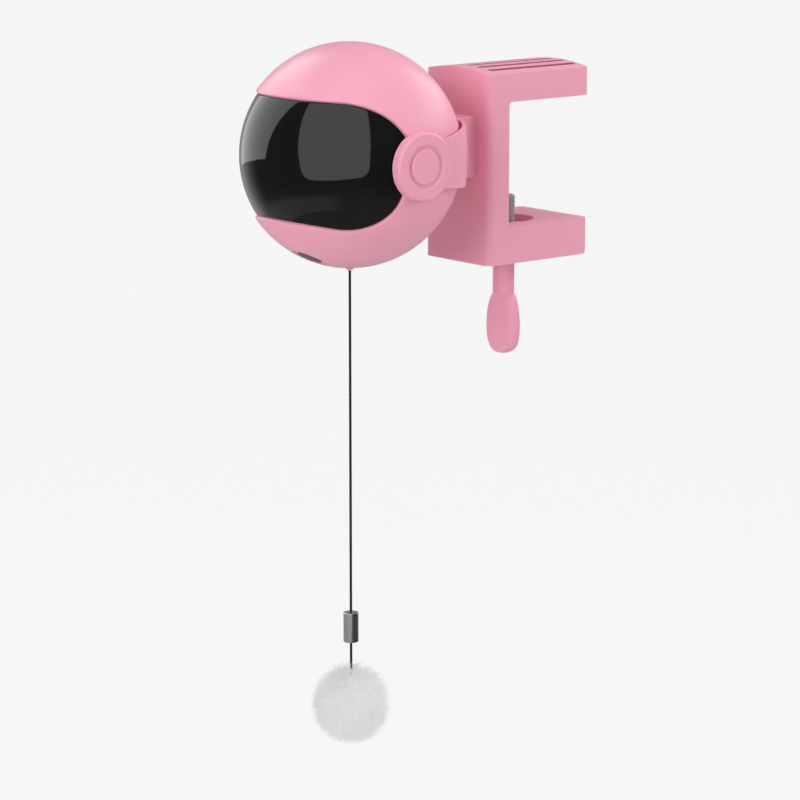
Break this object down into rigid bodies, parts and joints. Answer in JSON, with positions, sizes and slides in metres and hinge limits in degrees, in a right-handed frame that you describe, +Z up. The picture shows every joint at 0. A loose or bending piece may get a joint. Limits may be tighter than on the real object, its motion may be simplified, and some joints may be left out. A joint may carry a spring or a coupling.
{
  "type": "interactive cat ball toy",
  "caption": "Helmet-like ball on a table clamp: it tilts in a yoke, and a motor winch inside lowers and lifts a pom-pom on a string.",
  "frame": {"origin": "underside of the upper jaw, on the axis of the clamp screw", "axes": "+Z up along the clamp screw, -Y the way the visor looks, X along the ball's tilt axis"},
  "size_m": [0.0848, 0.137, 0.2572],
  "materials": {
    "pink_plastic": "satin moulded plastic",
    "black_gloss": "high gloss",
    "grey_plastic": "satin",
    "button_grey": "satin",
    "dark_plastic": "matte",
    "white_plastic": "satin acetal",
    "steel": "plated",
    "brass_pinion": "machined",
    "cell_jacket": "plain printed jacket",
    "board_green": "solder mask",
    "black_string": "braided cord",
    "dark_metal": "blackened crimp sleeve",
    "white_fluff": "fluffy"
  },
  "bodies": {
    "clamp": {"clamp_frame": "pink_plastic", "clamp_nut": "steel", "yoke": "pink_plastic", "neck_screws": "steel", "pivot_pins": "steel", "ear_caps": "pink_plastic"},
    "tip": {"screw_tip": "grey_plastic"},
    "screw": {"clamp_screw": "pink_plastic"},
    "head": {"upper_shell": "pink_plastic", "lower_shell": "pink_plastic", "visor": "black_gloss", "shell_screws": "steel", "battery_tray": "dark_plastic", "battery_cells": "cell_jacket", "battery_contacts": "steel", "battery_door": "pink_plastic", "door_screw": "steel", "circuit_board": "board_green", "tactile_switch": "dark_plastic", "gearbox_frame": "white_plastic", "gear_axles": "steel", "motor": "steel", "string_run": "black_string", "string_eyelet": "pink_plastic"},
    "button": {"power_button": "button_grey"},
    "spool": {"spool": "white_plastic", "string_winding": "black_string"},
    "idler": {"idler_gear": "white_plastic"},
    "pinion": {"motor_pinion": "brass_pinion"},
    "line": {"string": "black_string"},
    "toy": {"string_clasp": "dark_metal"},
    "pom": {"pom_tail": "black_string", "pom_pom": "white_fluff"}
  },
  "joints": [
    {"name": "tip_slide", "type": "slide", "parent": "clamp", "child": "tip", "axis": [0, 0, 1], "range_m": [-0.0085, 0.014]},
    {"name": "screw_turn", "type": "hinge", "parent": "tip", "child": "screw", "pos_m": [0, 0, -0.05], "axis": [0, 0, 1], "range_deg": [-1226, 2018]},
    {"name": "head_tilt", "type": "hinge", "parent": "clamp", "child": "head", "pos_m": [0, -0.073, -0.016], "axis": [1, 0, 0], "range_deg": [-40, 40]},
    {"name": "button_press", "type": "slide", "parent": "head", "child": "button", "axis": [0, 0.4617, 0.887], "range_m": [0, 0.001], "stiffness_N_per_m": 1000},
    {"name": "spool_turn", "type": "hinge", "parent": "head", "child": "spool", "pos_m": [0, -0.08, -0.028], "axis": [1, 0, 0], "range_deg": [-1, 992]},
    {"name": "idler_turn", "type": "hinge", "parent": "head", "child": "idler", "pos_m": [0, -0.085, -0.01655], "axis": [1, 0, 0], "range_deg": [-3966, 4]},
    {"name": "pinion_turn", "type": "hinge", "parent": "head", "child": "pinion", "pos_m": [0, -0.08252, -0.00532], "axis": [1, 0, 0], "range_deg": [-15, 14280]},
    {"name": "string_plumb", "type": "hinge", "parent": "head", "child": "line", "pos_m": [0, -0.073, -0.05715], "axis": [1, 0, 0], "range_deg": [-41, 41]},
    {"name": "toy_lift", "type": "slide", "parent": "line", "child": "toy", "axis": [0, 0, 1], "range_m": [0, 0.121], "deforming": ["string"]},
    {"name": "pom_swing", "type": "hinge", "parent": "toy", "child": "pom", "pos_m": [0, -0.073, -0.19465], "axis": [0, 1, 0], "range_deg": [-40, 40]}
  ],
  "couplings": [
    {"joint": "screw_turn", "follows": "tip_slide", "rad_per_m": 2513.3},
    {"joint": "spool_turn", "follows": "toy_lift", "rad_per_m": 142.86},
    {"joint": "idler_turn", "follows": "toy_lift", "rad_per_m": -571.43},
    {"joint": "pinion_turn", "follows": "toy_lift", "rad_per_m": 2057.1},
    {"joint": "string_plumb", "follows": "head_tilt", "ratio": -1}
  ]
}
